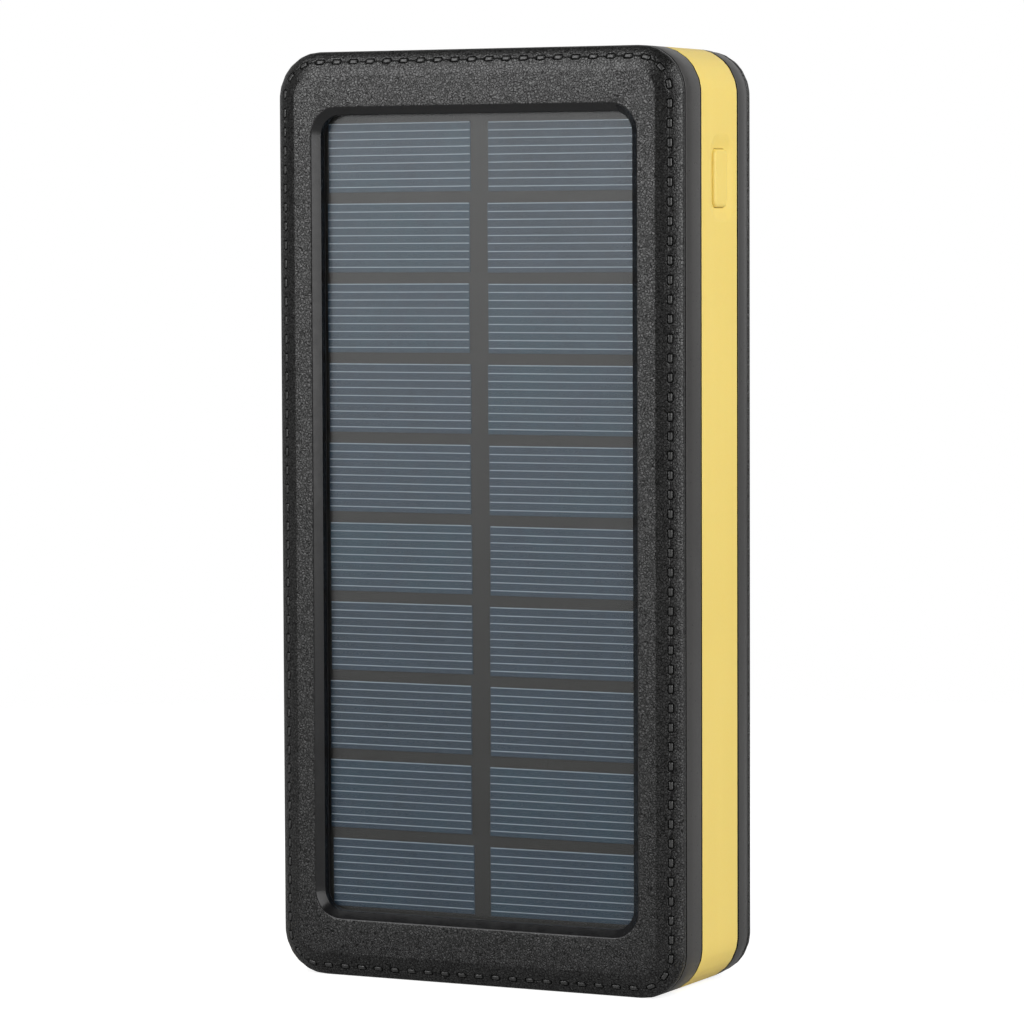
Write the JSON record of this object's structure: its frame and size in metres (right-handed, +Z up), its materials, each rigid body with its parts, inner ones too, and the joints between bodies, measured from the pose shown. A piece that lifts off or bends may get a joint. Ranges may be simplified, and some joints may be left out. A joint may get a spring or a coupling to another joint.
{
  "type": "solar phone charger",
  "caption": "Slab-shaped solar power bank with leather-look covers, a solar panel in front, a yellow band with a side button, and sockets and a torch in the top end.",
  "frame": {"origin": "middle of the bottom end, on the surface it stands on", "axes": "+Z up the case towards the sockets, the solar panel faces -Y, the button is on +X"},
  "size_m": [0.079, 0.034, 0.165],
  "materials": {
    "grained_black": "moulded leather grain, semi-matt",
    "yellow_plastic": "smooth satin moulding",
    "black_plastic": "plain moulding",
    "white_plastic": "plain moulding",
    "socket_steel": "nickel plated pressing",
    "contact_metal": "gold plated",
    "silicon": "blue-grey silicon with printed silver fingers",
    "backsheet": "brown-grey laminate board",
    "clear_sheet": "clear laminate",
    "tape_black": "double-sided tape",
    "circuit_board": "green solder mask",
    "chip_black": "moulded package",
    "ferrite": "ferrite",
    "capacitor_tan": "ceramic chip",
    "nickel": "nickel strip",
    "pouch_foil": "laminated foil",
    "foam": "foam pad",
    "wire_red": "insulation",
    "wire_black": "insulation",
    "led_body": "phosphor",
    "led_white": "package",
    "reflector": "vacuum metallised",
    "lens_clear": "clear moulding"
  },
  "bodies": {
    "case": {"front_cover": "grained_black", "rear_cover": "grained_black", "mid_frame": "yellow_plastic", "switch_body": "black_plastic", "panel_backsheet": "backsheet", "panel_cells_left": "silicon", "panel_cells_right": "silicon", "panel_laminate": "clear_sheet", "panel_tape": "tape_black", "panel_wire_red": "wire_red", "panel_wire_black": "wire_black", "main_board": "circuit_board", "board_screws": "socket_steel", "usb_a_shell_1": "socket_steel", "usb_a_shell_2": "socket_steel", "usb_a_tongue_1": "white_plastic", "usb_a_tongue_2": "white_plastic", "usb_a_contacts": "contact_metal", "usb_c_shell": "socket_steel", "usb_c_tongue": "black_plastic", "control_chips": "chip_black", "power_inductors": "ferrite", "capacitors": "capacitor_tan", "torch_board": "white_plastic", "torch_leds": "led_body", "torch_reflector": "reflector", "torch_lens": "lens_clear", "status_leds": "led_white", "light_pipe": "lens_clear", "battery_cell_front": "pouch_foil", "battery_cell_rear": "pouch_foil", "cell_tabs": "nickel", "protection_board": "circuit_board", "protection_chips": "chip_black", "battery_wire_red": "wire_red", "battery_wire_black": "wire_black", "cell_pad_front": "foam", "cell_pad_middle": "foam", "cell_pad_rear": "foam"},
    "button": {"power_button": "yellow_plastic"},
    "plunger": {"switch_plunger": "black_plastic"}
  },
  "joints": [
    {"name": "button_press", "type": "slide", "parent": "case", "child": "button", "axis": [-1, 0, 0], "range_m": [0, 0.0004], "stiffness_N_per_m": 3000, "springref_m": -0.0001},
    {"name": "plunger_press", "type": "slide", "parent": "case", "child": "plunger", "axis": [-1, 0, 0], "range_m": [0, 0.0004]}
  ],
  "couplings": [
    {"joint": "plunger_press", "follows": "button_press", "ratio": 1}
  ]
}
